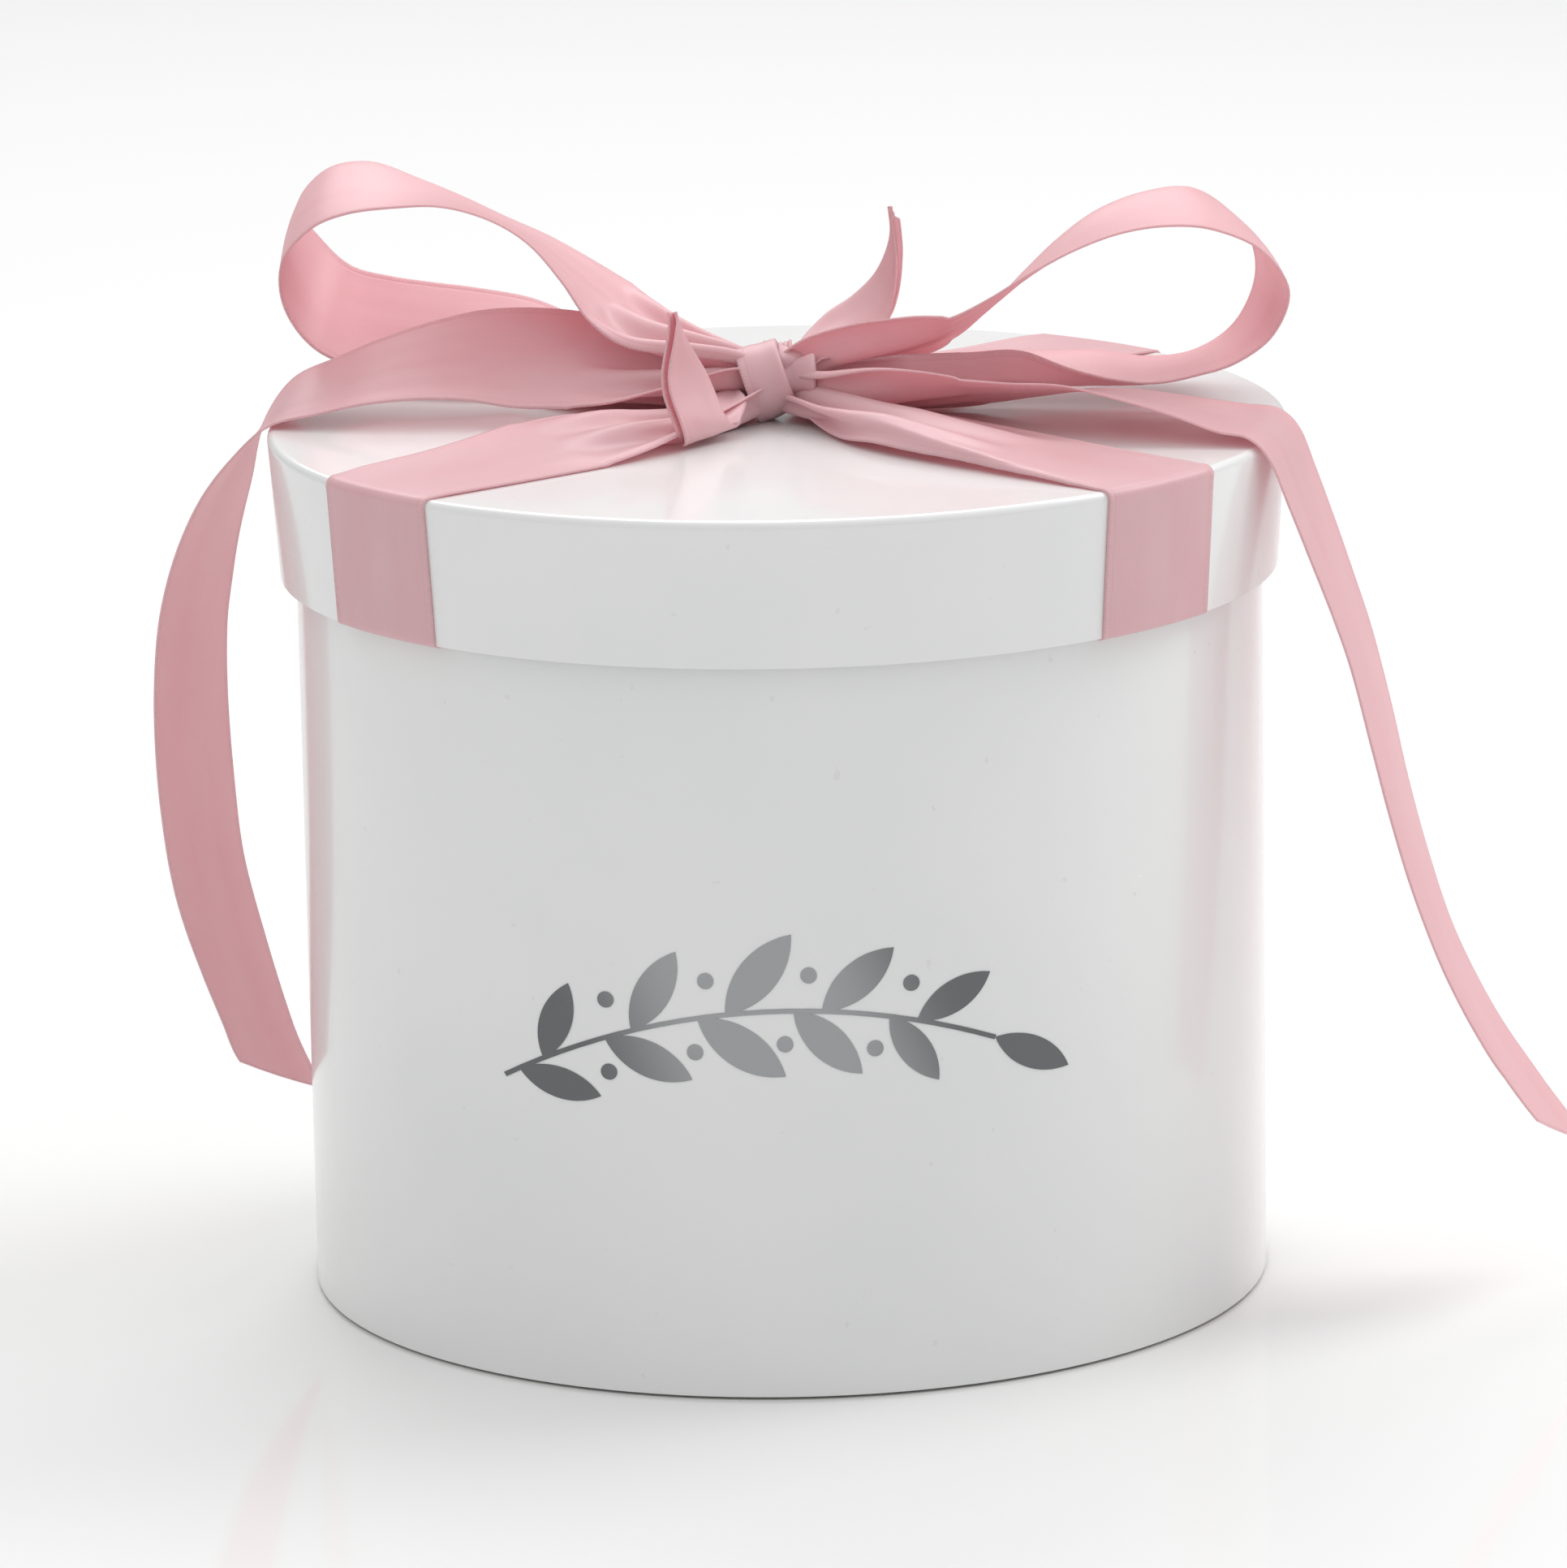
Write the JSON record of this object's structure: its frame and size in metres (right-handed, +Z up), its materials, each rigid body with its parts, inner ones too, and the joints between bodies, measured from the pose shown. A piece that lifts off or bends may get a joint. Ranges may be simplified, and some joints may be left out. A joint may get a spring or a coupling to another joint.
{
  "type": "flower box",
  "caption": "Round paper-covered board box for flowers, with an overlapping lift-off lid tied with a wide satin ribbon bow.",
  "frame": {"origin": "on the axis of the round box, at the surface it stands on", "axes": "+Z up along the box's axis, -Y towards the front with the sprig, +X to the right seen from the front, along the bow"},
  "size_m": [0.2333, 0.1648, 0.1778],
  "materials": {
    "gloss_paper": "white art paper with gloss laminate",
    "lining_paper": "uncoated white lining paper",
    "greyboard": "raw grey board",
    "satin_ribbon": "double-faced polyester satin with woven edges",
    "grey_foil": "satin grey foil transfer"
  },
  "bodies": {
    "box": {"wall_board": "greyboard", "base_board": "greyboard", "base_cover": "gloss_paper", "wall_wrap": "gloss_paper", "wall_lining": "lining_paper", "base_lining": "lining_paper", "foil_sprig": "grey_foil"},
    "lid": {"lid_board": "greyboard", "skirt_board": "greyboard", "lid_top_paper": "gloss_paper", "lid_side_band": "gloss_paper", "lid_lining": "lining_paper", "skirt_lining": "lining_paper", "strap_front_left": "satin_ribbon", "strap_front_right": "satin_ribbon", "strap_back_left": "satin_ribbon", "strap_back_right": "satin_ribbon", "bow_loop_left": "satin_ribbon", "bow_loop_right": "satin_ribbon", "bow_tail_left": "satin_ribbon", "bow_tail_right": "satin_ribbon", "knot_core": "satin_ribbon", "knot_front_turn": "satin_ribbon", "knot_back_turn": "satin_ribbon", "tie_end_front": "satin_ribbon", "tie_end_back": "satin_ribbon"}
  },
  "joints": [
    {"name": "lid_lift", "type": "slide", "parent": "box", "child": "lid", "axis": [0, 0, 1], "range_m": [0, 0.15]}
  ]
}
